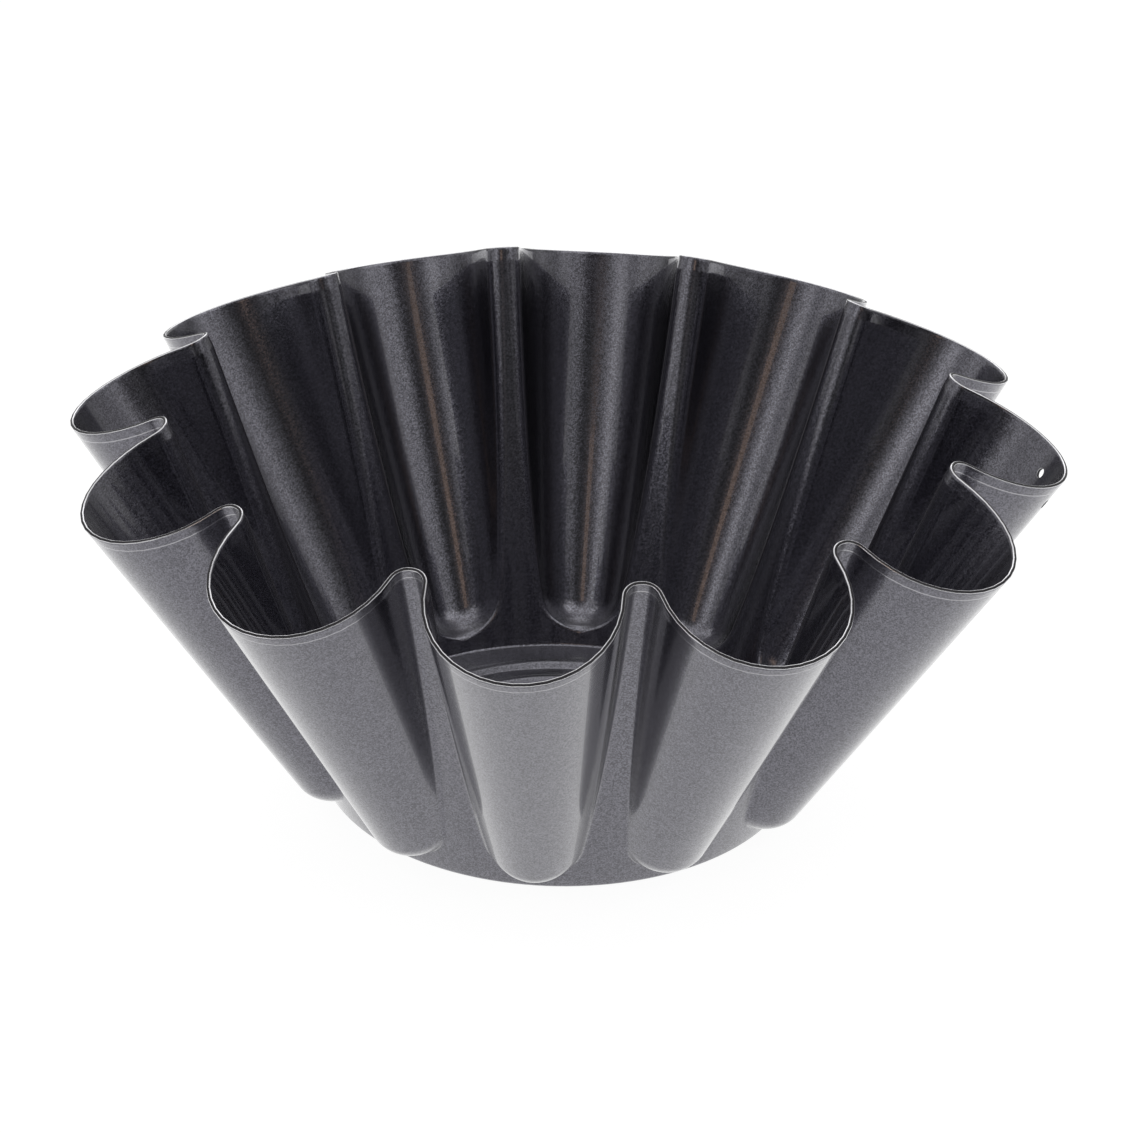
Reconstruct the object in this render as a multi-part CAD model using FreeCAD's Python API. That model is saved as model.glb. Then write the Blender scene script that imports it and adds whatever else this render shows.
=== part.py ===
import FreeCAD, Part
import math
import os
from FreeCAD import Vector

# Fluted brioche mould pressed from one round blank of coated steel sheet.
# Millimetres and degrees, Z up, origin in the middle of the foot's underside.
# The wall is a plain cone that leans outwards, with twelve flutes bulging from it.
# Between two flutes the cone is left as a narrow neck, and a small lip closes the wall at its top.

# Sheet and coats
steel_thickness = 0.6
coat_thickness = 0.12

# Plain cone, measured on the outer face: where it would meet the table, and a neck's top below the lip
foot_radius = 54.6
neck_radius = 86.8
neck_height = 89.4

# Flutes, measured on the outer face below the lip: how far the middle of a flute's top stands out
# beyond the top of a neck, and how far below it that lies
flute_count = 12
flute_reach = 22.22
flute_drop = 10.43

# Flute ends: height of the lower end, roundness of its underside, and plan radius of the flute there
flute_root_height = 3.4
flute_chin_radius = 8.5
flute_end_radius = 11.5

# Hollow fillets between flute and cone, at the flute's lower end and at the neck's top
root_fillet_radius = 1.25
neck_fillet_radius = 3.3

# Width of the flat that the cone keeps on a neck's top
neck_land = 0.6

# Lip above the wall: width along the slope, and how far it leans out in the necks, fading on the flutes
lip_width = 3.4
lip_flare = 7.0

# Base: bend to the cone, flat ring inside that bend, and raised stiffening beads
base_bend_radius = 1.6
base_ring_width = 6.1
bead_count = 2
bead_pitch = 7.5
bead_height = 0.9
bead_root_radius = 2.8
bead_crest_radius = 1.9

# Pair of hanging holes in the flute on the X axis, distance below the lip's crease
hole_diameter = 2.4
hole_spacing = 15.0
hole_drop = 3.0

# Fineness of the fluted faces: rows up the wall, and columns across a flute, a fillet and a neck
wall_rows = 32
flute_columns = 12
fillet_columns = 6
neck_columns = 6

half_turn = math.pi / flute_count
sector = 360.0 / flute_count
cone_lean = math.atan2(neck_height, neck_radius - foot_radius)
root_radius = foot_radius + flute_root_height / math.tan(cone_lean)
flute_radius = neck_radius + flute_reach
flute_height = neck_height - flute_drop
neck_length = math.hypot(neck_radius - root_radius, neck_height - flute_root_height)

# A flute's middle line: hollow fillet out of the cone, round chin, then a straight run to the lip
chin_x = root_radius + root_fillet_radius * math.sin(cone_lean)
chin_z = flute_root_height + root_fillet_radius * (1 - math.cos(cone_lean)) + flute_chin_radius
reach_x = flute_radius - chin_x
reach_z = flute_height - chin_z
reach = math.hypot(reach_x, reach_z)
flute_slope = math.atan2(reach_z, reach_x) - math.acos(flute_chin_radius / reach) + math.pi / 2
fillet_length = root_fillet_radius * cone_lean
chin_length = flute_chin_radius * flute_slope
run_length = math.sqrt(reach ** 2 - flute_chin_radius ** 2)
flute_length = fillet_length + chin_length + run_length


def touching_radius(outer, cone, fillet, angle):
    """Plan radius of the flute whose crown is at outer and whose fillet leaves the cone at angle."""
    far = cone + fillet
    crown = outer + fillet
    centre = (crown ** 2 - far ** 2) / (2 * (crown - far * math.cos(angle)))
    return outer - centre


def crown_at(v):
    """Radius and height on a flute's middle line at share v of its length."""
    run = v * flute_length
    heading = cone_lean - min(max(run, 0.0), fillet_length) / root_fillet_radius
    turn = min(max(run - fillet_length, 0.0), chin_length) / flute_chin_radius
    straight = max(run - fillet_length - chin_length, 0.0)
    x = root_radius + root_fillet_radius * (math.sin(cone_lean) - math.sin(heading))
    z = flute_root_height + root_fillet_radius * (math.cos(heading) - math.cos(cone_lean))
    x += flute_chin_radius * math.sin(turn) + straight * math.cos(flute_slope)
    z += flute_chin_radius * (1 - math.cos(turn)) + straight * math.sin(flute_slope)
    return x, z


top_radius = touching_radius(
    flute_radius, neck_radius, neck_fillet_radius, half_turn - neck_land / (2 * neck_radius))


def level(v):
    """Plan of the wall at level v: cone radius and height, crown, and the three arcs of half a flute."""
    cone = root_radius + v * neck_length * math.cos(cone_lean)
    height = flute_root_height + v * neck_length * math.sin(cone_lean)
    crown, crown_height = crown_at(v)
    out = max(crown - cone, 1e-9)
    fillet = root_fillet_radius + (neck_fillet_radius - root_fillet_radius) * v
    flute = flute_end_radius + (top_radius - flute_end_radius) * v
    widest = half_turn - neck_land / (2 * cone)
    flute = min(flute, touching_radius(cone + out, cone, fillet, widest))
    centre = cone + out - flute
    far = cone + fillet
    near = flute + fillet
    turn = math.acos(min(1.0, (far ** 2 + centre ** 2 - near ** 2) / (2 * far * centre)))
    if v <= 0:
        turn = 0.0
    sweep = math.atan2(far * math.sin(turn), far * math.cos(turn) - centre)
    return cone, height, out, crown_height, flute, fillet, centre, turn, sweep


def joins(v):
    """Shares of half a flute's plan length at which the flute's arc and the fillet end."""
    cone, height, out, crown_height, flute, fillet, centre, turn, sweep = level(v)
    first = flute * sweep
    second = fillet * (sweep - turn)
    whole = first + second + cone * (half_turn - turn)
    return first / whole, (first + second) / whole, whole


def wall_point(v, s):
    """Outer face at level v, and how far out it lies from cone (0) to crown (1).

    s runs from 0 in the middle of a flute to 1 in the middle of a neck, by share of the plan's
    length, is negative on the other side, and runs on past 1 as far as the cone does.
    """
    cone, height, out, crown_height, flute, fillet, centre, turn, sweep = level(v)
    first, second, whole = joins(v)
    run = abs(s) * whole
    if abs(s) < first:
        x = centre + flute * math.cos(run / flute)
        y = flute * math.sin(run / flute)
    elif abs(s) < second:
        angle = sweep + math.pi - (run - first * whole) / fillet
        x = (cone + fillet) * math.cos(turn) + fillet * math.cos(angle)
        y = (cone + fillet) * math.sin(turn) + fillet * math.sin(angle)
    else:
        angle = turn + (run - second * whole) / cone
        x = cone * math.cos(angle)
        y = cone * math.sin(angle)
    share = min(max((math.hypot(x, y) - cone) / out, 0.0), 1.0)
    return Vector(x, math.copysign(y, s), height + (crown_height - height) * share), share


def wall_frame(v, s):
    """Point of the outer face with its outward normal and its upward direction along the sheet."""
    point, share = wall_point(v, s)
    if v <= 0 or share < 1e-9:
        ray = Vector(point.x, point.y, 0).normalize()
        normal = ray * math.sin(cone_lean) - Vector(0, 0, math.cos(cone_lean))
        return point, normal, ray * math.cos(cone_lean) + Vector(0, 0, math.sin(cone_lean))
    step = 1e-4
    up = wall_point(v + step, s)[0] - wall_point(v - step, s)[0]
    across = wall_point(v, s + step)[0] - wall_point(v, s - step)[0]
    if s == 0:
        across = Vector(0, 1, 0)
    normal = across.cross(up).normalize()
    up = (up - normal * up.dot(normal)).normalize()
    return point, normal, up


def wall_at(v, s, depth):
    """Point of the sheet at a depth below its outer face."""
    point, normal, up = wall_frame(v, s)
    return point - normal * depth


def rim_at(s, depth):
    """Point of the cut edge: the lip leans out from the crease in the necks, and the edge is square to it."""
    point, normal, up = wall_frame(1.0, s)
    flare = math.radians(lip_flare) * (1 - wall_point(1.0, s)[1]) ** 2
    lip_up = up * math.cos(flare) + normal * math.sin(flare)
    lip_normal = normal * math.cos(flare) - up * math.sin(flare)
    return point + lip_up * lip_width - lip_normal * depth


def round_about(shape):
    """The copies of one flute's face, from the flute opposite the holes onwards."""
    turned = []
    for number in range(flute_count):
        copy = shape.copy()
        copy.rotate(Vector(0, 0, 0), Vector(0, 0, 1), (number + flute_count // 2) * sector)
        turned.append(copy)
    return turned


def swept(edge, angle):
    """Face made by turning an edge about the axis."""
    return edge.revolve(Vector(0, 0, 0), Vector(0, 0, 1), angle)


def in_plane(r, z):
    """Point at radius r and height z in the upright plane through the X axis."""
    return Vector(r, 0, z)


def arc_edge(r, z, radius, start, end):
    """Arc about a centre in the upright plane, from the start to the end direction."""
    points = []
    for share in (0.0, 0.5, 1.0):
        way = start + (end - start) * share
        points.append(in_plane(r + radius * math.cos(way), z + radius * math.sin(way)))
    return Part.Arc(points[0], points[1], points[2]).toShape()


def base_faces(depth, foot):
    """Foot of the sheet at a depth: strip of cone below the necks, bend, flat rings, beads and middle."""
    bend = base_bend_radius - depth
    bend_r = foot_radius - base_bend_radius * math.tan(cone_lean / 2)
    bend_end = cone_lean - math.pi / 2
    strip_r = bend_r + bend * math.cos(bend_end)
    strip_z = base_bend_radius + bend * math.sin(bend_end)
    strip_edge = Part.makeCircle(strip_r, Vector(0, 0, strip_z), Vector(0, 0, 1), 0, sector)
    flat_edge = Part.makeCircle(bend_r, Vector(0, 0, depth), Vector(0, 0, 1), 0, sector)
    corner = arc_edge(bend_r, base_bend_radius, bend, -math.pi / 2, bend_end)
    faces = round_about(Part.makeRuledSurface(strip_edge, foot)) + round_about(swept(corner, sector))
    outline = Part.Wire(round_about(flat_edge))
    tilt = math.acos(1 - bead_height / (bead_root_radius + bead_crest_radius))
    reach_in = (bead_root_radius + bead_crest_radius) * math.sin(tilt)
    root = bead_root_radius - depth
    crest = bead_crest_radius + depth
    crest_z = bead_height - bead_crest_radius
    middle = bend_r - base_ring_width - reach_in
    for number in range(bead_count):
        r = middle - number * bead_pitch
        outer_root = arc_edge(r + reach_in, bead_root_radius, root, -math.pi / 2, -math.pi / 2 - tilt)
        top = arc_edge(r, crest_z, crest, math.pi / 2 - tilt, math.pi / 2 + tilt)
        inner_root = arc_edge(r - reach_in, bead_root_radius, root, -math.pi / 2 + tilt, -math.pi / 2)
        faces += [swept(edge, 360.0) for edge in (outer_root, top, inner_root)]
        ring = Part.Wire(Part.makeCircle(r + reach_in, Vector(0, 0, depth)))
        faces.append(Part.makeFace([outline, ring], "Part::FaceMakerBullseye"))
        outline = Part.Wire(Part.makeCircle(r - reach_in, Vector(0, 0, depth)))
    faces.append(Part.Face(outline))
    return faces


def fitted_curve(points, at):
    """Smooth curve through points at given parameters."""
    curve = Part.BSplineCurve()
    curve.interpolate(Points=points, Parameters=at)
    return curve


def fitted_surface(grid, across, upward):
    """Smooth surface through a grid of points, along the rows and then up the columns.

    The lowest row may be a single point, as at the lower end of a flute.
    """
    rows = [fitted_curve(points, across) for points in grid[1:]]
    if (grid[0][0] - grid[0][-1]).Length < 1e-6:
        lowest = [grid[0][0]] * rows[0].NbPoles
    else:
        lowest = fitted_curve(grid[0], across).getPoles()
    nets = [lowest] + [row.getPoles() for row in rows]
    columns = [fitted_curve(list(points), upward) for points in zip(*nets)]
    net = [list(poles) for poles in zip(*[column.getPoles() for column in columns])]
    surface = Part.BSplineSurface()
    surface.buildFromPolesMultsKnots(
        net, columns[0].getMultiplicities(), rows[0].getMultiplicities(),
        columns[0].getKnots(), rows[0].getKnots(), False, False, 3, 3)
    return surface


def patch_spans(v):
    """The four strips round one flute at level v: flute, fillet, neck and the other fillet."""
    first, second, whole = joins(v)
    return (-first, first), (first, second), (second, 2 - second), (-second, -first)


patch_columns = (flute_columns, fillet_columns, neck_columns, fillet_columns)


def wall_faces(depth):
    """Fluted wall and lip of the sheet at a depth, the rim's curves on one flute and a neck's foot."""
    upward = [number / wall_rows for number in range(wall_rows + 1)]
    faces = []
    rims = []
    for patch, count in enumerate(patch_columns):
        across = [number / count for number in range(count + 1)]
        grid = []
        for share in upward:
            v = share ** 1.8
            start, end = patch_spans(v)[patch]
            grid.append([wall_at(v, start + (end - start) * part, depth) for part in across])
        surface = fitted_surface(grid, across, upward)
        crease = surface.uIso(surface.bounds()[1])
        start, end = patch_spans(1.0)[patch]
        rim = fitted_curve([rim_at(start + (end - start) * part, depth) for part in across], across)
        lip = Part.makeRuledSurface(crease.toShape(), rim.toShape())
        faces += round_about(surface.toShape()) + round_about(lip)
        rims.append(rim.toShape())
        if patch == 2:
            foot = surface.uIso(0.0).toShape()
    return faces, rims, foot


def layer(outer_depth, inner_depth):
    """One layer of the sheet between two depths, as a closed solid with its holes."""
    outer, outer_rims, outer_foot = wall_faces(outer_depth)
    inner, inner_rims, inner_foot = wall_faces(inner_depth)
    faces = outer + inner + base_faces(outer_depth, outer_foot) + base_faces(inner_depth, inner_foot)
    for outer_rim, inner_rim in zip(outer_rims, inner_rims):
        faces += round_about(Part.makeRuledSurface(outer_rim, inner_rim))
    skin = Part.makeShell(faces)
    skin.sewShape()
    solid = Part.Solid(skin)
    if solid.Volume < 0:
        solid.reverse()
    return solid.cut(Part.makeCompound(hole_cutters()))


def hole_cutters():
    """Pins through the sheet, square to it, on both sides of the middle of the flute on the X axis."""
    v = 1 - hole_drop / flute_length
    flute = level(v)[4]
    first, second, whole = joins(v)
    s = flute * math.asin(hole_spacing / (2 * flute)) / whole
    sheet = steel_thickness + 2 * coat_thickness
    pins = []
    for side in (-s, s):
        point, normal, up = wall_frame(v, side)
        start = point + normal * sheet
        pins.append(Part.makeCylinder(hole_diameter / 2, 3 * sheet, start, normal * -1))
    return pins


os.makedirs("parts", exist_ok=True)
steel_inside = coat_thickness + steel_thickness
nodes = {
    "outer_nonstick_coating": layer(0.0, coat_thickness),
    "pressed_steel_shell": layer(coat_thickness, steel_inside),
    "inner_nonstick_coating": layer(steel_inside, steel_inside + coat_thickness),
}
for name, shape in nodes.items():
    box = shape.BoundBox
    print(name, "valid", shape.isValid(), "solids", len(shape.Solids), "faces", len(shape.Faces),
          "volume", round(shape.Volume, 1), "box", [round(x, 2) for x in (box.XMin, box.XMax, box.ZMin, box.ZMax)])
    shape.exportStep("parts/" + name + ".step")
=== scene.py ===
# %% [markdown]
# A fluted brioche mould, dressed for the camera
#
# The mould is one pressing of thin steel sheet with a non-stick coat on both faces. A packed
# model of it already exists, at its real size. This lesson loads that model as a fixed frame,
# draws each layer of the sheet again as a smooth numpy surface, and gives it the finish that the
# eye sees. Everything is in metres and in the model's own frame: Z is up, the mould stands on
# Z = 0, and the flute with the two hanging holes lies on the X axis.

# %% Load the frame
import math

import bmesh
import bpy
import numpy as np
from mathutils import Matrix, Vector


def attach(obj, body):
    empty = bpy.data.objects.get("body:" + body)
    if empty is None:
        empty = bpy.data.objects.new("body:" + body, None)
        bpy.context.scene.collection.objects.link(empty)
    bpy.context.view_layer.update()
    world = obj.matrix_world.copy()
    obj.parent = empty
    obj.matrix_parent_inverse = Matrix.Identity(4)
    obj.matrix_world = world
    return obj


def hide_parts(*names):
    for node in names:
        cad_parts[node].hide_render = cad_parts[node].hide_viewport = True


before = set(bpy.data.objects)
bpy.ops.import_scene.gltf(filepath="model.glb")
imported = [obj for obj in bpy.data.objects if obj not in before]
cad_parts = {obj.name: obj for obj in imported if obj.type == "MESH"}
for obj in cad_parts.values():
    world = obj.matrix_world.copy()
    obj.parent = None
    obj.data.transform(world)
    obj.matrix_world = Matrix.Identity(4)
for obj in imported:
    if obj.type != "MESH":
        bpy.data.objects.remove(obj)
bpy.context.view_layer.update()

# %% [markdown]
# The sizes of the pressing
#
# A press tool is cut from a few sizes, so the surface needs only those: the sheet, the plain cone,
# the flutes that bulge from it, the lip, the base with its stiffening beads, and the holes. They
# are written in millimetres, as on a drawing, and turned to metres when a mesh is made.

# %% Sizes in millimetres
MM = 0.001

STEEL_THICKNESS = 0.6
COAT_THICKNESS = 0.12
SHEET = STEEL_THICKNESS + 2 * COAT_THICKNESS

FOOT_RADIUS = 54.6
NECK_RADIUS = 86.8
NECK_HEIGHT = 89.4
NECK_LAND = 0.6
NECK_FILLET = 3.3

FLUTE_COUNT = 12
FLUTE_RADIUS = 109.02
FLUTE_HEIGHT = 78.97
FLUTE_ROOT_HEIGHT = 3.4
FLUTE_END_RADIUS = 11.5
CHIN_RADIUS = 8.5
ROOT_FILLET = 1.25

LIP_WIDTH = 3.4
LIP_FLARE = math.radians(7.0)
LIP_BEND = 0.5
EDGE_ROUND = 0.2

BASE_BEND = 1.6
BASE_RING = 6.1
BEAD_COUNT = 2
BEAD_PITCH = 7.5
BEAD_HEIGHT = 0.9
BEAD_ROOT = 2.8
BEAD_CREST = 1.9

HOLE_DIAMETER = 2.4
HOLE_SPACING = 15.0
HOLE_DROP = 3.0

HALF_TURN = math.pi / FLUTE_COUNT
CONE_LEAN = math.atan2(NECK_HEIGHT, NECK_RADIUS - FOOT_RADIUS)
ROOT_RADIUS = FOOT_RADIUS + FLUTE_ROOT_HEIGHT / math.tan(CONE_LEAN)
NECK_LENGTH = math.hypot(NECK_RADIUS - ROOT_RADIUS, NECK_HEIGHT - FLUTE_ROOT_HEIGHT)
print("cone leans", round(math.degrees(CONE_LEAN), 2), "degrees from the table")

# %% [markdown]
# A flute's middle line
#
# Seen from the side, a flute leaves the cone through a small hollow bend, turns under a round chin
# and then runs straight up to the lip. Two arcs and a line that touch each other say all of that,
# so the line is a formula of one number: the share v of its length, 0 at the root and 1 at the lip.

# %% Middle line of a flute
chin_x = ROOT_RADIUS + ROOT_FILLET * math.sin(CONE_LEAN)
chin_z = FLUTE_ROOT_HEIGHT + ROOT_FILLET * (1 - math.cos(CONE_LEAN)) + CHIN_RADIUS
reach = math.hypot(FLUTE_RADIUS - chin_x, FLUTE_HEIGHT - chin_z)
FLUTE_SLOPE = (math.atan2(FLUTE_HEIGHT - chin_z, FLUTE_RADIUS - chin_x)
               - math.acos(CHIN_RADIUS / reach) + math.pi / 2)
FILLET_LENGTH = ROOT_FILLET * CONE_LEAN
CHIN_LENGTH = CHIN_RADIUS * FLUTE_SLOPE
FLUTE_LENGTH = FILLET_LENGTH + CHIN_LENGTH + math.sqrt(reach ** 2 - CHIN_RADIUS ** 2)


def crown_line(v):
    """Radius and height of a flute's middle line: hollow arc, chin arc, then a straight run."""
    run = v * FLUTE_LENGTH
    heading = CONE_LEAN - np.clip(run, 0, FILLET_LENGTH) / ROOT_FILLET
    turn = np.clip(run - FILLET_LENGTH, 0, CHIN_LENGTH) / CHIN_RADIUS
    straight = np.maximum(run - FILLET_LENGTH - CHIN_LENGTH, 0)
    r = ROOT_RADIUS + ROOT_FILLET * (math.sin(CONE_LEAN) - np.sin(heading))
    z = FLUTE_ROOT_HEIGHT + ROOT_FILLET * (np.cos(heading) - math.cos(CONE_LEAN))
    r = r + CHIN_RADIUS * np.sin(turn) + straight * math.cos(FLUTE_SLOPE)
    z = z + CHIN_RADIUS * (1 - np.cos(turn)) + straight * math.sin(FLUTE_SLOPE)
    return r, z


print("a flute runs", round(FLUTE_LENGTH, 1), "mm and slopes",
      round(math.degrees(FLUTE_SLOPE), 1), "degrees")

# %% [markdown]
# The plan of the wall
#
# From above, half a flute is three arcs that touch: the round flute, a hollow fillet, and the cone
# that is left as a neck between two flutes. The triangle of their centres gives the angles. One
# number s walks along them, 0 in the middle of the flute and 1 in the middle of the neck, so the
# whole wall is a function of v and s. Its normal comes from small steps of both.

# %% Wall as a function of two numbers
# step of v, s or a column from which slopes are taken
STEP = 1e-4
# a bulge of less than this counts as none
TINY = 1e-9


def touching_radius(outer, cone, fillet, angle):
    """Radius of the arc whose crown is at outer and whose fillet touches the cone at an angle."""
    far = cone + fillet
    crown = outer + fillet
    return outer - (crown ** 2 - far ** 2) / (2 * (crown - far * np.cos(angle)))


TOP_RADIUS = touching_radius(FLUTE_RADIUS, NECK_RADIUS, NECK_FILLET,
                             HALF_TURN - NECK_LAND / (2 * NECK_RADIUS))


def plan(v):
    """Sizes of the three arcs at level v, with the lengths of each arc on half a flute."""
    cone = ROOT_RADIUS + v * NECK_LENGTH * math.cos(CONE_LEAN)
    out = np.maximum(crown_line(v)[0] - cone, TINY)
    fillet = ROOT_FILLET + (NECK_FILLET - ROOT_FILLET) * v
    widest = HALF_TURN - NECK_LAND / (2 * cone)
    flute = np.minimum(FLUTE_END_RADIUS + (TOP_RADIUS - FLUTE_END_RADIUS) * v,
                       touching_radius(cone + out, cone, fillet, widest))
    centre = cone + out - flute
    far = cone + fillet
    cosine = (far ** 2 + centre ** 2 - (flute + fillet) ** 2) / (2 * far * centre)
    turn = np.where(v <= 0, 0.0, np.arccos(np.clip(cosine, -1, 1)))
    sweep = np.arctan2(far * np.sin(turn), far * np.cos(turn) - centre)
    return cone, out, fillet, flute, centre, turn, sweep


def joins(v):
    """Shares of the plan at which the flute's arc and the fillet end, and the plan's length."""
    cone, _, fillet, flute, _, turn, sweep = plan(v)
    first = flute * sweep
    second = first + fillet * (sweep - turn)
    whole = second + cone * (HALF_TURN - turn)
    return first / whole, second / whole, whole


def wall_point(v, s):
    """Outer face: an arc, a hollow arc and the cone's arc, lifted from cone to crown by radius."""
    cone, out, fillet, flute, centre, turn, sweep = plan(v)
    first, second, whole = joins(v)
    run = np.abs(s) * whole
    bulge = np.minimum(run / flute, sweep)
    hollow = sweep + math.pi - np.clip((run - first * whole) / fillet, 0, sweep - turn)
    neck = turn + np.maximum(run - second * whole, 0) / cone
    on_flute = np.abs(s) < first
    on_fillet = np.abs(s) < second
    far = cone + fillet
    x = np.where(on_fillet, far * np.cos(turn) + fillet * np.cos(hollow), cone * np.cos(neck))
    y = np.where(on_fillet, far * np.sin(turn) + fillet * np.sin(hollow), cone * np.sin(neck))
    x = np.where(on_flute, centre + flute * np.cos(bulge), x)
    y = np.where(on_flute, flute * np.sin(bulge), y)
    share = np.clip((np.hypot(x, y) - cone) / out, 0, 1)
    height = FLUTE_ROOT_HEIGHT + v * NECK_LENGTH * math.sin(CONE_LEAN)
    z = height + (crown_line(v)[1] - height) * share
    return np.stack([x, np.copysign(y, s), z], axis=-1), share


def unit(vectors):
    """Vectors of length one."""
    return vectors / np.linalg.norm(vectors, axis=-1, keepdims=True)


def wall_frame(v, s):
    """Point of the outer face, its outward normal and its upward direction along the sheet."""
    point, share = wall_point(v, s)
    up = wall_point(v + STEP, s)[0] - wall_point(v - STEP, s)[0]
    across = wall_point(v, s + STEP)[0] - wall_point(v, s - STEP)[0]
    normal = unit(np.cross(across, up))
    ray = unit(point * [1, 1, 0])
    on_cone = ((share < TINY) | (v <= 0))[..., None]
    normal = np.where(on_cone, ray * math.sin(CONE_LEAN) - [0, 0, math.cos(CONE_LEAN)], normal)
    up = np.where(on_cone, ray * math.cos(CONE_LEAN) + [0, 0, math.sin(CONE_LEAN)], up)
    up = unit(up - normal * np.sum(up * normal, axis=-1, keepdims=True))
    return point, normal, up


print("flute radius at the lip", round(float(TOP_RADIUS), 2), "mm")

# %% [markdown]
# One grid for the whole sheet
#
# Rows run up the wall, closer together in the tight bends. Columns run round it and keep to the
# borders of the arcs, so no edge of the mesh cuts across a bend. The flute on the X axis has extra
# columns beside its two holes.

# %% Rows and columns
# counts of cells, but the last, half the width of the patch round a hole, is in millimetres
ROOT_ROWS = 6
CHIN_ROWS = 14
RUN_ROWS = 22
TOP_ROWS = 2
FILLET_COLUMNS = 6
FLUTE_COLUMNS = 20
NECK_COLUMNS = 12
BESIDE_HOLES = 9
BETWEEN_HOLES = 6
HOLE_RINGS = 4
HOLE_BLOCK = 6
HOLE_PATCH = 2.2

hole_v = 1 - HOLE_DROP / FLUTE_LENGTH
hole_first, _, hole_whole = (float(x) for x in joins(np.array(hole_v)))
hole_flute = float(plan(np.array(hole_v))[3])
hole_s = hole_flute * math.asin(HOLE_SPACING / (2 * hole_flute)) / hole_whole
patch_v = HOLE_PATCH / FLUTE_LENGTH
chin_start = FILLET_LENGTH / FLUTE_LENGTH
chin_end = (FILLET_LENGTH + CHIN_LENGTH) / FLUTE_LENGTH


def spaced(stops, counts):
    """Numbers from stop to stop, with a count of even steps in each stretch and both ends."""
    runs = [np.linspace(a, b, n, endpoint=False) for a, b, n in zip(stops, stops[1:], counts)]
    return np.concatenate(runs + [[stops[-1]]])


wall_v = spaced([0.0, chin_start, chin_end, hole_v - patch_v, hole_v + patch_v, 1.0],
                [ROOT_ROWS, CHIN_ROWS, RUN_ROWS, 2 * HOLE_BLOCK, TOP_ROWS])
hole_share = hole_s / hole_first
patch_share = HOLE_PATCH / (hole_first * hole_whole)
plain_flute = np.linspace(-1, 1, FLUTE_COLUMNS, endpoint=False)
holed_flute = spaced([-1, -hole_share - patch_share, -hole_share + patch_share,
                      hole_share - patch_share, hole_share + patch_share, 1],
                     [BESIDE_HOLES, 2 * HOLE_BLOCK, BETWEEN_HOLES,
                      2 * HOLE_BLOCK, BESIDE_HOLES])[:-1]


def pitch_columns(flute_shares):
    """Columns of one flute and its neck: strip number, and place in the strip from 0 to 1."""
    fillet = np.linspace(0, 1, FILLET_COLUMNS, endpoint=False)
    neck = np.linspace(0, 1, NECK_COLUMNS, endpoint=False)
    return np.concatenate([fillet, 1 + (flute_shares + 1) / 2, 2 + fillet, 3 + neck])


pitches = [pitch_columns(holed_flute if number == 0 else plain_flute)
           for number in range(FLUTE_COUNT)]
columns = np.concatenate(pitches)
sector = np.repeat(np.arange(FLUTE_COUNT), [len(pitch) for pitch in pitches])


def place_s(v, column):
    """Walk s of a column at level v: fillet, flute, fillet and neck, each split evenly."""
    first, second, _ = joins(v)
    knots = np.stack([-second, -first, first, second, 2 - second], axis=-1)
    strip = np.minimum(np.floor(column).astype(int), 3)
    start = np.take_along_axis(knots, strip[..., None], -1)[..., 0]
    end = np.take_along_axis(knots, strip[..., None] + 1, -1)[..., 0]
    return start + (end - start) * (column - strip)


print("grid of", len(wall_v), "wall rows and", len(columns), "columns")

# %% [markdown]
# Two holes without a cutter
#
# A Boolean would cut the holes, but it leaves long thin faces that spoil the gloss. Here the grid
# itself makes room: the square rings of cells round each hole's middle are pushed on to circles,
# and the cells inside the first circle are left out.

# %% Push the grid aside for the holes
grid_v = np.repeat(wall_v[:, None], len(columns), axis=1)
grid_c = np.repeat(columns[None, :], len(wall_v), axis=0)
hole_row = int(np.argmin(np.abs(wall_v - hole_v)))
hole_rings = []
cut_cells = np.zeros((len(wall_v) - 1, len(columns)), bool)


def tangent_steps(v, c):
    """Steps of (v, column) that move one millimetre along the sheet, to the side and upwards."""
    v = np.array([v, v + STEP, v])
    c = np.array([c, c, c + STEP])
    point = wall_point(v, place_s(v, c))[0]
    along_v = (point[1] - point[0]) / STEP
    along_c = (point[2] - point[0]) / STEP
    side = unit(along_c)
    normal = unit(np.cross(along_c, along_v))
    above = np.cross(normal, side)
    jacobian = np.array([[along_v @ side, along_c @ side], [along_v @ above, along_c @ above]])
    return np.linalg.inv(jacobian)


for hole_side in (-1, 1):
    hole_c = 1 + (hole_side * hole_share + 1) / 2
    hole_column = int(np.argmin(np.where(sector == 0, np.abs(columns - hole_c), np.inf)))
    rows_off = np.arange(len(wall_v))[:, None] - hole_row
    columns_off = np.arange(len(columns))[None, :] - hole_column
    ring = np.maximum(np.abs(rows_off), np.abs(columns_off))
    angle = np.arctan2(rows_off, columns_off)
    circle = np.stack([np.cos(angle), np.sin(angle)], -1) * HOLE_DIAMETER / 2
    offsets = circle @ tangent_steps(hole_v, hole_c).T
    share = np.clip((ring - HOLE_RINGS) / (HOLE_BLOCK - HOLE_RINGS), 0, 1)
    near = ring < HOLE_BLOCK
    moved_v = hole_v + offsets[..., 0] * (1 - share) + (grid_v - hole_v) * share
    moved_c = hole_c + offsets[..., 1] * (1 - share) + (grid_c - hole_c) * share
    grid_v = np.where(near, moved_v, grid_v)
    grid_c = np.where(near, moved_c, grid_c)
    corner = np.maximum(ring[:-1], ring[1:])
    cut_cells |= np.maximum(corner, np.roll(corner, -1, axis=1)) <= HOLE_RINGS
    on_ring = np.argwhere(ring == HOLE_RINGS)
    order = np.argsort(angle[on_ring[:, 0], on_ring[:, 1]])
    hole_rings.append(on_ring[order])

print("each hole has", len(hole_rings[0]), "sides;", int(cut_cells.sum()), "cells are left out")

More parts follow.
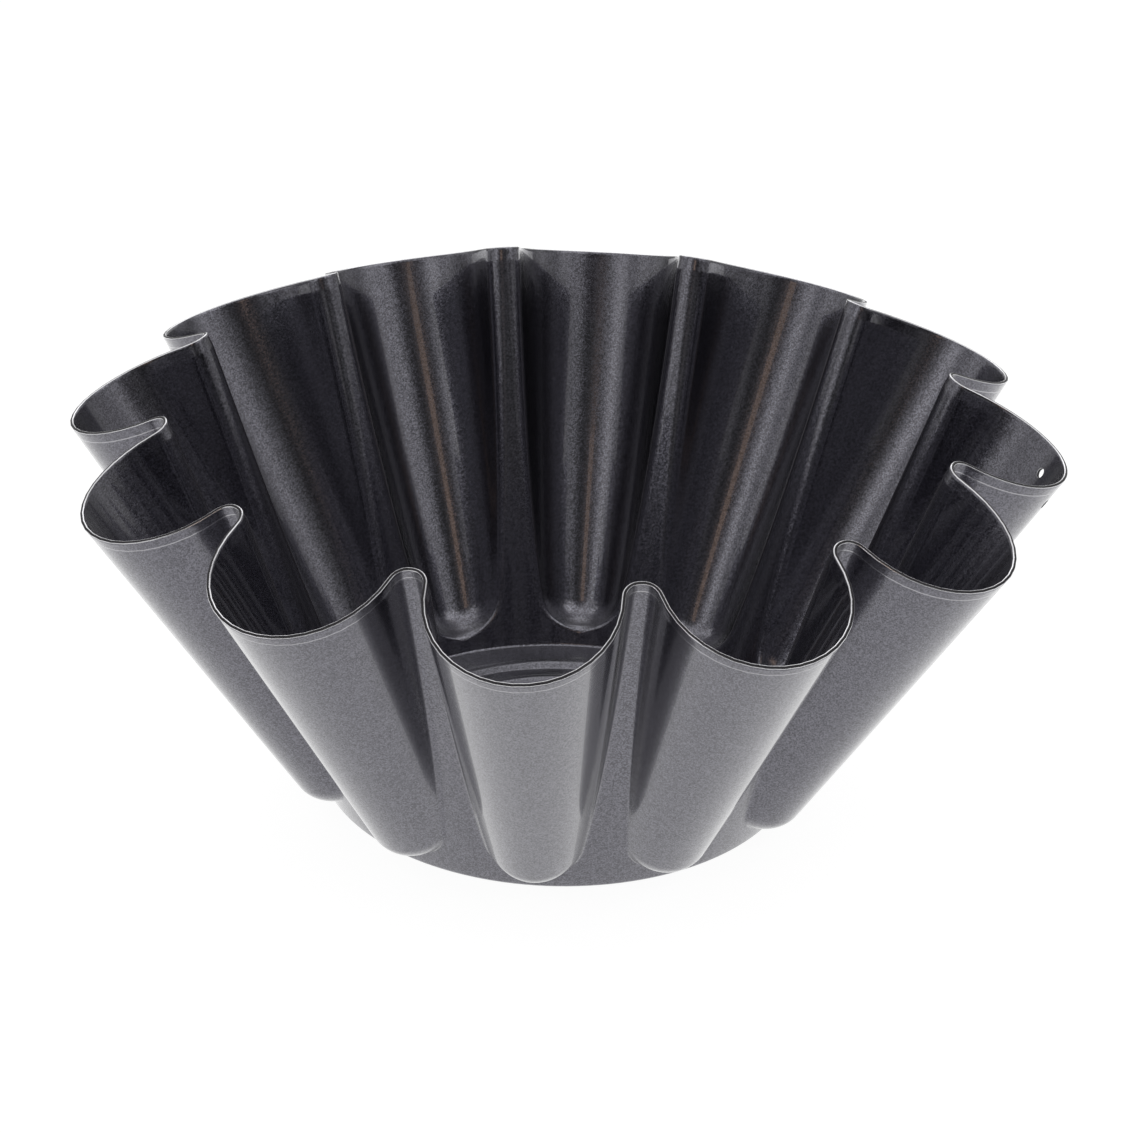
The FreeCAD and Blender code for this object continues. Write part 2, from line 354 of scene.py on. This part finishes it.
# %% [markdown]
# The sheet at any depth
#
# A layer of the sheet lies at a depth below the outer face, so the same wall, moved back along its
# normals, gives every face of every layer. The base is a profile of arcs turned about the axis, and
# the lip leaves the wall through a short bend. The rim's cut edge is worn a little round.

# %% Base at a depth
MIDDLE_ROWS = 8
BEAD_ROOT_ROWS = 4
BEAD_CREST_ROWS = 8
BEND_ROWS = 7


def arc(r, z, radius, start, end, count):
    """Points of an arc in the upright plane, without its last point."""
    way = np.linspace(start, end, count, endpoint=False)
    return np.stack([r + radius * np.cos(way), z + radius * np.sin(way)], -1)


def base_profile(depth):
    """Radius and height from the base's middle outwards: flat, beads of three arcs, ring, bend."""
    tilt = math.acos(1 - BEAD_HEIGHT / (BEAD_ROOT + BEAD_CREST))
    half_width = (BEAD_ROOT + BEAD_CREST) * math.sin(tilt)
    bend_r = FOOT_RADIUS - BASE_BEND * math.tan(CONE_LEAN / 2)
    outer_bead = bend_r - BASE_RING - half_width
    crest_z = BEAD_HEIGHT - BEAD_CREST
    quarter = math.pi / 2
    inner_edge = outer_bead - (BEAD_COUNT - 1) * BEAD_PITCH - half_width
    flat = np.linspace(0, inner_edge, MIDDLE_ROWS, endpoint=False)
    parts = [np.stack([flat, np.full(MIDDLE_ROWS, depth)], -1)]
    for number in reversed(range(BEAD_COUNT)):
        r = outer_bead - number * BEAD_PITCH
        root = BEAD_ROOT - depth
        crest = BEAD_CREST + depth
        parts += [arc(r - half_width, BEAD_ROOT, root, -quarter, tilt - quarter, BEAD_ROOT_ROWS),
                  arc(r, crest_z, crest, quarter + tilt, quarter - tilt, BEAD_CREST_ROWS),
                  arc(r + half_width, BEAD_ROOT, root, -quarter - tilt, -quarter, BEAD_ROOT_ROWS)]
    parts.append([[outer_bead + half_width, depth]])
    bend = BASE_BEND - depth
    last = CONE_LEAN - quarter
    parts.append(arc(bend_r, BASE_BEND, bend, -quarter, last, BEND_ROWS))
    parts.append([[bend_r + bend * math.cos(last), BASE_BEND + bend * math.sin(last)]])
    return np.concatenate(parts)


base_rows = len(base_profile(0.0))
print("a face of the sheet has", base_rows, "rows in the base and", len(wall_v), "in the wall")

# %% Wall and lip at a depth
LIP_BEND_ROWS = 5
LIP_ROWS = 4

grid_s = place_s(grid_v, grid_c)
wall_points, wall_normals, wall_ups = wall_frame(grid_v, grid_s)
rim_share = wall_point(grid_v[-1], grid_s[-1])[1]
lip_flare = LIP_FLARE * (1 - rim_share) ** 2


def round_about(points):
    """Points of each column turned to that column's flute."""
    angle = sector * 2 * HALF_TURN
    x = points[..., 0] * np.cos(angle) - points[..., 1] * np.sin(angle)
    y = points[..., 0] * np.sin(angle) + points[..., 1] * np.cos(angle)
    return np.stack([x, y, points[..., 2]], -1)


def lip_run(depth):
    """How far the lip runs above its crease: full in the middle of the cut, less at its corners."""
    return LIP_WIDTH - EDGE_ROUND * np.abs(2 * depth / SHEET - 1) ** 3


def lip_rows(depth):
    """How far above the crease each row of the lip lies, at a depth."""
    return spaced([0, LIP_BEND, float(lip_run(depth))], [LIP_BEND_ROWS, LIP_ROWS])[1:]


def lip_points(run, depth):
    """Lip: an arc from the wall's slope to the flare, then straight, moved back by depth.

    The flare is full in the necks and fades to none on the flutes.
    """
    run, depth = run[:, None], depth[:, None]
    bent = np.minimum(run, LIP_BEND)
    turn = lip_flare * bent / LIP_BEND
    straight = run - bent
    rise = bent * np.sinc(turn / math.pi)
    lean = bent * np.sin(turn / 2) * np.sinc(turn / 2 / math.pi)
    rise = rise + straight * np.cos(lip_flare) + depth * np.sin(turn)
    lean = lean + straight * np.sin(lip_flare) - depth * np.cos(turn)
    return wall_points[-1] + wall_ups[-1] * rise[..., None] + wall_normals[-1] * lean[..., None]


def side_points(depth):
    """One face of the sheet at a depth, from the middle of the base up to the rim."""
    profile = base_profile(depth)
    foot = wall_points[0] - wall_normals[0] * depth
    around = unit(foot * [1, 1, 0])
    base = around * profile[:, None, :1] + [0, 0, 1] * profile[:, None, 1:]
    wall = wall_points - wall_normals * depth
    runs = lip_rows(depth)
    return round_about(np.concatenate([base, wall, lip_points(runs, np.full(len(runs), depth))]))


def edge_points(outer, inner, count):
    """Rows over the cut edge between two depths, without its two ends."""
    depth = np.linspace(outer, inner, count + 1)[1:-1]
    return round_about(lip_points(lip_run(depth), depth))


def below_rim(depth):
    """Way along the sheet from each row of a face up to the rim, in millimetres."""
    runs = lip_rows(depth)
    base = np.full((base_rows, len(columns)), LIP_WIDTH + FLUTE_LENGTH)
    wall = LIP_WIDTH + (1 - grid_v) * FLUTE_LENGTH
    return np.concatenate([base, wall, np.repeat(LIP_WIDTH - runs[:, None], len(columns), axis=1)])


print("the lip leans out by up to", round(math.degrees(float(lip_flare.max())), 1), "degrees")

# %% [markdown]
# From grids to closed layers
#
# A layer is one closed skin: up its outer face, over the cut edge and down its inner face, with a
# short tube in each hole. Where columns meet in a point, at the base's middle and at the lower end
# of each flute, the doubled points are merged.

# %% Mesh of a layer
# in metres
MERGE_DISTANCE = 1e-7
SHARP_ANGLE = math.radians(40)


def quads(rows, count):
    """Corner numbers of the cells of a grid that closes on itself round the mould."""
    number = np.arange(rows * count).reshape(rows, count)
    beside = np.roll(number, -1, axis=1)
    return np.stack([number[:-1], beside[:-1], beside[1:], number[1:]], -1)


def layer_mesh(name, outer, inner, edge_steps):
    """Closed skin of the sheet between two depths: both faces, cut edge and hole walls."""
    face = side_points(outer)
    back = side_points(inner)
    points = np.concatenate([face, edge_points(outer, inner, edge_steps), back[::-1]])
    rows, count = points.shape[:2]
    cells = quads(rows, count)
    keep = np.ones(cells.shape[:2], bool)
    keep[base_rows:base_rows + len(cut_cells)] = ~cut_cells
    last = rows - 1
    keep[last - base_rows - len(cut_cells):last - base_rows] = ~cut_cells[::-1]
    faces = [cells[keep]]
    for ring in hole_rings:
        front = (base_rows + ring[:, 0]) * count + ring[:, 1]
        rear = (last - base_rows - ring[:, 0]) * count + ring[:, 1]
        faces.append(np.stack([front, rear, np.roll(rear, -1), np.roll(front, -1)], -1))
    mesh = bpy.data.meshes.new(name)
    mesh.from_pydata((points.reshape(-1, 3) * MM).tolist(), [], np.concatenate(faces).tolist())
    edge_ways = np.zeros((edge_steps - 1, count))
    ways = np.concatenate([below_rim(outer), edge_ways, below_rim(inner)[::-1]])
    mesh.attributes.new("below_rim", "FLOAT", "POINT").data.foreach_set("value", ways.ravel())
    edge_depths = np.linspace(outer, inner, edge_steps + 1)[1:-1]
    depths = np.r_[np.full(len(face), outer), edge_depths, np.full(len(back), inner)]
    depths = np.repeat(depths, count)
    mesh.attributes.new("depth", "FLOAT", "POINT").data.foreach_set("value", depths)
    skin = bmesh.new()
    skin.from_mesh(mesh)
    bmesh.ops.remove_doubles(skin, verts=skin.verts, dist=MERGE_DISTANCE)
    loose = [vertex for vertex in skin.verts if not vertex.link_faces]
    bmesh.ops.delete(skin, geom=loose, context="VERTS")
    skin.to_mesh(mesh)
    skin.free()
    mesh.shade_smooth()
    mesh.set_sharp_from_angle(angle=SHARP_ANGLE)
    return mesh


def add_piece(name, mesh, node):
    """Puts a mesh into the scene as a piece that stands for a node of the frame."""
    piece = bpy.data.objects.new(name, mesh)
    bpy.context.scene.collection.objects.link(piece)
    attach(piece, "root")
    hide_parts(node)
    triangles = sum(len(polygon.vertices) - 2 for polygon in mesh.polygons)
    print(name, "has", triangles, "triangles")
    return piece


print("hole walls add", sum(len(ring) for ring in hole_rings), "cells to a layer")

# %% Three layers of the sheet
COAT_EDGE_STEPS = 4
STEEL_EDGE_STEPS = 8

steel_top = COAT_THICKNESS
steel_bottom = COAT_THICKNESS + STEEL_THICKNESS
outer_coat = add_piece("outer_coat", layer_mesh("outer_coat", 0.0, steel_top, COAT_EDGE_STEPS),
                       "outer_nonstick_coating")
steel_sheet = add_piece("steel_sheet",
                        layer_mesh("steel_sheet", steel_top, steel_bottom, STEEL_EDGE_STEPS),
                        "pressed_steel_shell")
inner_coat = add_piece("inner_coat", layer_mesh("inner_coat", steel_bottom, SHEET, COAT_EDGE_STEPS),
                       "inner_nonstick_coating")

# %% [markdown]
# The camera
#
# The camera has a long lens. It stands a good arm's length away and looks down by some 27 degrees,
# with a slight roll. The point that it aims at sets the mould's place in the square image.

# %% Camera
CAMERA_TURN = math.radians(4.727)
CAMERA_ELEVATION = math.radians(27.502)
CAMERA_ROLL = math.radians(1.186)
CAMERA_DISTANCE = 790.27
AIM_RIGHT = 0.97
AIM_HEIGHT = 50.803
SENSOR = 36.0
FOCAL_SHARE = 3.092

right = Vector((math.cos(CAMERA_TURN), math.sin(CAMERA_TURN), 0))
ahead = Vector((-math.sin(CAMERA_TURN), math.cos(CAMERA_TURN), 0))
back = Vector((0, 0, 1)) * math.sin(CAMERA_ELEVATION) - ahead * math.cos(CAMERA_ELEVATION)
above = back.cross(right)
aim = right * AIM_RIGHT + Vector((0, 0, AIM_HEIGHT))
rolled_right = right * math.cos(CAMERA_ROLL) + above * math.sin(CAMERA_ROLL)
rolled_above = above * math.cos(CAMERA_ROLL) - right * math.sin(CAMERA_ROLL)
camera_data = bpy.data.cameras.new("camera")
camera_data.sensor_width = SENSOR
camera_data.lens = SENSOR * FOCAL_SHARE
camera = bpy.data.objects.new("camera", camera_data)
bpy.context.scene.collection.objects.link(camera)
turned = Matrix((rolled_right, rolled_above, back)).transposed().to_4x4()
camera.matrix_world = Matrix.Translation((aim + back * CAMERA_DISTANCE) * MM) @ turned
bpy.context.scene.camera = camera
print("camera at", [round(x, 4) for x in camera.matrix_world.translation])

# %% [markdown]
# Colours and nodes
#
# A colour is easiest to pick as it looks on a screen, so each one is written as a hex code and
# turned to the linear numbers that shaders use. One small helper adds a node and fills its inputs.

# %% Helpers for materials


def linear(code, alpha=1.0):
    """Linear colour of a hex code: the screen's curve undone, channel by channel."""
    screen = np.array([int(code[i:i + 2], 16) for i in (1, 3, 5)]) / 255
    value = np.where(screen <= 0.04045, screen / 12.92, ((screen + 0.055) / 1.055) ** 2.4)
    return (*[float(x) for x in value], alpha)


def add_node(tree, kind, inputs=None, **settings):
    """Adds a node, sets its properties, and fills or links its inputs by name or number."""
    node = tree.nodes.new(kind)
    for key, value in settings.items():
        setattr(node, key, value)
    for key, value in (inputs or {}).items():
        if isinstance(value, bpy.types.NodeSocket):
            tree.links.new(value, node.inputs[key])
        else:
            node.inputs[key].default_value = value
    return node


def new_material(name):
    """An empty node material and its output node."""
    material = bpy.data.materials.new(name)
    material.use_nodes = True
    material.node_tree.nodes.clear()
    return material, material.node_tree, add_node(material.node_tree, "ShaderNodeOutputMaterial")


print("a grey of #777777 is", round(linear("#777777")[0], 3), "in linear light")

# %% [markdown]
# The non-stick coat
#
# The coat is a dark grey lacquer full of tiny metal flakes, baked on in one thin layer. Under its
# smooth skin each flake lies at a slightly different tilt, so the coat mirrors its surroundings
# dimly and sandily, and its skin brightens at grazing angles. A noise bump would give smooth
# ripples. Here a Voronoi pattern gives each flake its own random number, and that tips the normal
# of a dark metal as a whole, while the shader's clear coat stays smooth over it. Real flakes are
# ten times finer, but those would be lost between the pixels of any picture, so they are drawn
# coarser. Slow clouds in the spray make the coat a little rougher here and there.

# %% Coat of metallic-flake lacquer
# flakes and clouds in millimetres
FLAKE = 0.26
FLAKE_TILT = 0.04
FLAKE_TINTS = [(0.2, "#434249"), (0.8, "#6f6e77")]
CLOUD = 18
CLOUD_RANGE = (0.3, 0.7)
ROUGHNESS = (0.22, 0.26)

coat, tree, output = new_material("metallic_flake_nonstick_lacquer")
place = add_node(tree, "ShaderNodeTexCoord").outputs["Object"]
flakes = add_node(tree, "ShaderNodeTexVoronoi", {"Vector": place, "Scale": 1 / (FLAKE * MM)})
cloud = add_node(tree, "ShaderNodeTexNoise", {"Vector": place, "Scale": 1 / (CLOUD * MM)})
tint = add_node(tree, "ShaderNodeValToRGB", {"Fac": flakes.outputs["Color"]})
for stop, (position, code) in zip(tint.color_ramp.elements, FLAKE_TINTS):
    stop.position, stop.color = position, linear(code)
rough = add_node(tree, "ShaderNodeMapRange",
                 {"Value": cloud.outputs["Fac"],
                  "From Min": CLOUD_RANGE[0], "From Max": CLOUD_RANGE[1],
                  "To Min": ROUGHNESS[0], "To Max": ROUGHNESS[1]})
tilt = add_node(tree, "ShaderNodeVectorMath",
                {0: flakes.outputs["Color"], 1: (2 * FLAKE_TILT,) * 3, 2: (-FLAKE_TILT,) * 3},
                operation="MULTIPLY_ADD")
upright = add_node(tree, "ShaderNodeNewGeometry").outputs["Normal"]
tipped = add_node(tree, "ShaderNodeVectorMath", {0: upright, 1: tilt.outputs[0]}, operation="ADD")
tipped = add_node(tree, "ShaderNodeVectorMath", {0: tipped.outputs[0]}, operation="NORMALIZE")
print("flakes of", FLAKE, "mm tip the normal by up to", FLAKE_TILT, "along each axis")

# %% [markdown]
# Painted highlights by the rim
#
# Two painted highlights are drawn by the way to the rim, which the mesh carries as an attribute:
# a bright band on the coat's cut edge, and a faint bright line 2.5 mm below the rim. That line is
# on the outside alone, so it fades with the depth in the sheet.

# %% Painted highlights and the whole coat
# ways and widths in millimetres
# the coat's cut edge and the sheet just below it get a painted highlight
PAINTED_RIM_HIGHLIGHT_BELOW_RIM = (0.19, 0.24)
# a faint painted highlight line at this way below the rim, on the outside alone
PAINTED_LINE_BELOW_RIM = 2.5
PAINTED_LINE_WIDTH = 0.28
PAINTED_LINE_STRENGTH = 0.36
# colour of the painted highlights by the rim, on the coat and on the steel
PAINTED_HIGHLIGHT_METAL = "#d8d7da"
SKIN_ROUGHNESS = 0.06

way = add_node(tree, "ShaderNodeAttribute", attribute_name="below_rim").outputs["Fac"]
# painted highlight on the coat's cut edge
painted_rim_highlight = add_node(tree, "ShaderNodeMapRange",
                  {"Value": way, "From Min": PAINTED_RIM_HIGHLIGHT_BELOW_RIM[0], "From Max": PAINTED_RIM_HIGHLIGHT_BELOW_RIM[1],
                   "To Min": 1.0, "To Max": 0.0})
# painted highlight line below the rim, faded to none towards the inside
painted_line = add_node(tree, "ShaderNodeMath", {0: way, 1: PAINTED_LINE_BELOW_RIM, 2: PAINTED_LINE_WIDTH / 2},
                   operation="COMPARE")
depth = add_node(tree, "ShaderNodeAttribute", attribute_name="depth").outputs["Fac"]
outside = add_node(tree, "ShaderNodeMapRange",
                   {"Value": depth, "From Min": 0.0, "From Max": COAT_THICKNESS,
                    "To Min": PAINTED_LINE_STRENGTH, "To Max": 0.0})
# the painted highlight line, on the outside alone
faint = add_node(tree, "ShaderNodeMath", {0: painted_line.outputs[0], 1: outside.outputs[0]},
                 operation="MULTIPLY")
# the painted highlights by the rim, whichever is stronger
painted_highlight = add_node(tree, "ShaderNodeMath", {0: painted_rim_highlight.outputs[0], 1: faint.outputs[0]},
                operation="MAXIMUM")
# flake tints with the painted highlights mixed in
# in a mix of colours, inputs 6 and 7 are the two colours and output 2 is their mix
metal = add_node(tree, "ShaderNodeMix",
                 {0: painted_highlight.outputs[0], 6: tint.outputs["Color"], 7: linear(PAINTED_HIGHLIGHT_METAL)},
                 data_type="RGBA")
lacquer = add_node(tree, "ShaderNodeBsdfPrincipled",
                   {"Base Color": metal.outputs[2], "Metallic": 1.0,
                    "Roughness": rough.outputs["Result"], "Normal": tipped.outputs[0],
                    "Coat Weight": 1.0, "Coat Roughness": SKIN_ROUGHNESS})
tree.links.new(lacquer.outputs["BSDF"], output.inputs["Surface"])
for piece in (outer_coat, inner_coat):
    piece.data.materials.append(coat)
print(coat.name, "has", len(tree.nodes), "nodes")

# %% [markdown]
# The sheared steel
#
# Bare steel shows only where the sheet was cut: as a thin band between the two coats along the rim,
# and in the walls of the holes. It is drawn dark, with a painted highlight along its corner on the
# inside of the mould. The colour follows the depth in the sheet, which the mesh carries as an
# attribute. A fine noise makes the border between the dark and the painted highlight ragged, and
# the cut a little rough.

# %% Steel of the cut edge
# grain, relief, ragged border, and where the dark tint and the painted highlight lie, in
# millimetres
SHEAR_GRAIN = 0.5
SHEAR_RELIEF = 0.05
SHEAR_BUMP = 0.2
SHEAR_ROUGHNESS = 0.42
RAGGED = 0.16
# dark steel, then a painted highlight on the corner at the inside of the mould
SHEAR_TINT_AND_HIGHLIGHT = [(0.68, "#343335"), (0.76, PAINTED_HIGHLIGHT_METAL)]

steel, tree, output = new_material("sheared_sheet_steel_dark_with_painted_highlight")
place = add_node(tree, "ShaderNodeTexCoord").outputs["Object"]
grain = add_node(tree, "ShaderNodeTexNoise", {"Vector": place, "Scale": 1 / (SHEAR_GRAIN * MM)})
depth = add_node(tree, "ShaderNodeAttribute", attribute_name="depth").outputs["Fac"]
ragged = add_node(tree, "ShaderNodeMath", {0: grain.outputs["Fac"], 1: RAGGED, 2: depth},
                  operation="MULTIPLY_ADD")
# dark steel and a painted highlight along the inside corner, by depth
tint = add_node(tree, "ShaderNodeValToRGB", {"Fac": ragged.outputs[0]})
for stop, (position, code) in zip(tint.color_ramp.elements, SHEAR_TINT_AND_HIGHLIGHT):
    stop.position, stop.color = position, linear(code)
tipped = add_node(tree, "ShaderNodeBump", {"Height": grain.outputs["Fac"], "Strength": SHEAR_BUMP,
                                           "Distance": SHEAR_RELIEF * MM})
shear = add_node(tree, "ShaderNodeBsdfPrincipled",
                 {"Base Color": tint.outputs["Color"], "Metallic": 1.0,
                  "Roughness": SHEAR_ROUGHNESS, "Normal": tipped.outputs["Normal"]})
tree.links.new(shear.outputs["BSDF"], output.inputs["Surface"])
steel_sheet.data.materials.append(steel)
print(steel.name, "has", len(tree.nodes), "nodes")

# %% [markdown]
# The floor
#
# The mould stands on a white table that is lit until it is paper white. For the camera, and in the
# mould's own mirror, the table shines by itself, with a small share of true white paint that keeps
# the mould's soft shadow. For all other rays it is plain white paint. The camera sees pure white
# beyond it, so its border doesn't show.

# %% White floor
# in metres
FLOOR_WIDTH = 1.4
# brightness of the table's own shine, and how white its two paints are
FLOOR_SHINE = 0.94
FLOOR_VEIL = 0.16
FLOOR_WHITE = 0.8

floor_mesh = bpy.data.meshes.new("floor")
corners = np.array([[-1, -1, 0], [1, -1, 0], [1, 1, 0], [-1, 1, 0]]) * FLOOR_WIDTH / 2
floor_mesh.from_pydata(corners.tolist(), [], [(0, 1, 2, 3)])
floor = bpy.data.objects.new("floor", floor_mesh)
bpy.context.scene.collection.objects.link(floor)
paper, tree, output = new_material("white_studio_floor")
ray = add_node(tree, "ShaderNodeLightPath").outputs
seen = add_node(tree, "ShaderNodeMath", {0: ray["Is Camera Ray"], 1: ray["Is Glossy Ray"]},
                operation="MAXIMUM")
paint = add_node(tree, "ShaderNodeBsdfDiffuse", {"Color": (FLOOR_WHITE,) * 3 + (1,)})
shine = add_node(tree, "ShaderNodeEmission", {"Color": (1, 1, 1, 1), "Strength": FLOOR_SHINE})
veil = add_node(tree, "ShaderNodeBsdfDiffuse", {"Color": (FLOOR_VEIL,) * 3 + (1,)})
bright = add_node(tree, "ShaderNodeAddShader", {0: shine.outputs[0], 1: veil.outputs[0]})
both = add_node(tree, "ShaderNodeMixShader",
                {"Fac": seen.outputs[0], 1: paint.outputs[0], 2: bright.outputs[0]})
tree.links.new(both.outputs[0], output.inputs["Surface"])
floor_mesh.materials.append(paper)
print("floor is", FLOOR_WIDTH, "m wide")

# %% [markdown]
# The studio
#
# A dark shiny thing looks like what stands round it, so the studio decides how the inside of the
# mould looks. Large soft boxes stand round the table, and the room behind the camera is dimmer.
# Panels of light would show hard borders in the mould, so the boxes are soft glows of the world:
# each is brightest in one direction and fades all round it. Only one light is a true panel. It is
# narrow and warm, hangs behind and above the camera, and draws a warm streak in the flutes at the
# back.

# %% Warm panel
# turn and rise in degrees, the rest in metres
STRIP_TURN = -6
STRIP_RISE = 34
STRIP_DISTANCE = 1.3
STRIP_WIDTH = 0.22
STRIP_HEIGHT = 0.34
STRIP_AIM_HEIGHT = 0.05
STRIP_BRIGHTNESS = 0.8
STRIP_COLOUR = "#ffd8b8"


def direction(turn, rise):
    """Unit vector at a turn right of the camera's side and a rise above the table, in degrees."""
    turn, rise = math.radians(turn), math.radians(rise)
    level = right * math.sin(turn) - ahead * math.cos(turn)
    return level * math.cos(rise) + Vector((0, 0, math.sin(rise)))


strip_data = bpy.data.lights.new("warm_strip", "AREA")
strip_data.shape = "RECTANGLE"
strip_data.size = STRIP_WIDTH
strip_data.size_y = STRIP_HEIGHT
# the power of an even panel is its brightness times pi times its area
strip_data.energy = STRIP_BRIGHTNESS * math.pi * STRIP_WIDTH * STRIP_HEIGHT
strip_data.color = linear(STRIP_COLOUR)[:3]
strip = bpy.data.objects.new("warm_strip", strip_data)
bpy.context.scene.collection.objects.link(strip)
towards_strip = direction(STRIP_TURN, STRIP_RISE)
strip.location = towards_strip * STRIP_DISTANCE + Vector((0, 0, STRIP_AIM_HEIGHT))
strip.rotation_euler = towards_strip.to_track_quat("Z", "Y").to_euler()
strip.visible_camera = False
print("warm panel of", round(strip_data.energy, 3), "W at", [round(x, 3) for x in strip.location])

# %% Soft glows and room
GLOWS = [
    # turn right of the camera's side, rise above the table, width, all in degrees, and brightness
    (-60, 5, 8, 0.91), (0, 5, 8, 0.5), (-45, 20, 8, 1.0), (-30, 20, 8, 0.43),
    (30, 20, 8, 0.36), (60, 20, 8, 0.7), (-45, 35, 8, 0.89), (0, 35, 8, 0.18),
    (45, 35, 8, 0.34), (-30, 50, 8, 0.84), (45, 50, 8, 1.1), (-105, 5, 12, 0.62),
    (80, 5, 12, 0.37), (105, 5, 12, 0.59), (-80, 22, 12, 0.69), (-105, 40, 12, 0.77),
    (80, 40, 12, 0.97), (-80, 58, 12, 1.1), (80, 58, 12, 1.1), (-150, 30, 18, 1.1),
    (150, 30, 18, 1.1), (180, 30, 18, 1.1), (0, 75, 12, 1.3), (180, 72, 12, 0.9),
]

world = bpy.data.worlds.new("studio")
bpy.context.scene.world = world
world.use_nodes = True
tree = world.node_tree
tree.nodes.clear()
look = add_node(tree, "ShaderNodeTexCoord").outputs["Generated"]
total = 0.0
for turn, rise, width, brightness in GLOWS:
    # brightness times e to the power of (cosine of the angle to the middle - 1) / width squared
    narrow = 1 / math.radians(width) ** 2
    cosine = add_node(tree, "ShaderNodeVectorMath", {0: look, 1: direction(turn, rise)},
                      operation="DOT_PRODUCT").outputs["Value"]
    power = add_node(tree, "ShaderNodeMath", {0: cosine, 1: narrow, 2: -narrow},
                     operation="MULTIPLY_ADD").outputs[0]
    glow = add_node(tree, "ShaderNodeMath", {0: power}, operation="EXPONENT").outputs[0]
    total = add_node(tree, "ShaderNodeMath", {0: glow, 1: brightness, 2: total},
                     operation="MULTIPLY_ADD").outputs[0]
ray = add_node(tree, "ShaderNodeLightPath").outputs
room = add_node(tree, "ShaderNodeBackground", {"Color": (1, 1, 1, 1), "Strength": total})
white = add_node(tree, "ShaderNodeBackground", {"Color": (1, 1, 1, 1), "Strength": 1.0})
sky = add_node(tree, "ShaderNodeMixShader",
               {"Fac": ray["Is Camera Ray"], 1: room.outputs[0], 2: white.outputs[0]})
add_node(tree, "ShaderNodeOutputWorld", {"Surface": sky.outputs[0]})
bpy.context.scene.view_settings.view_transform = "Standard"
print(len(GLOWS), "glows in", len(tree.nodes), "nodes")
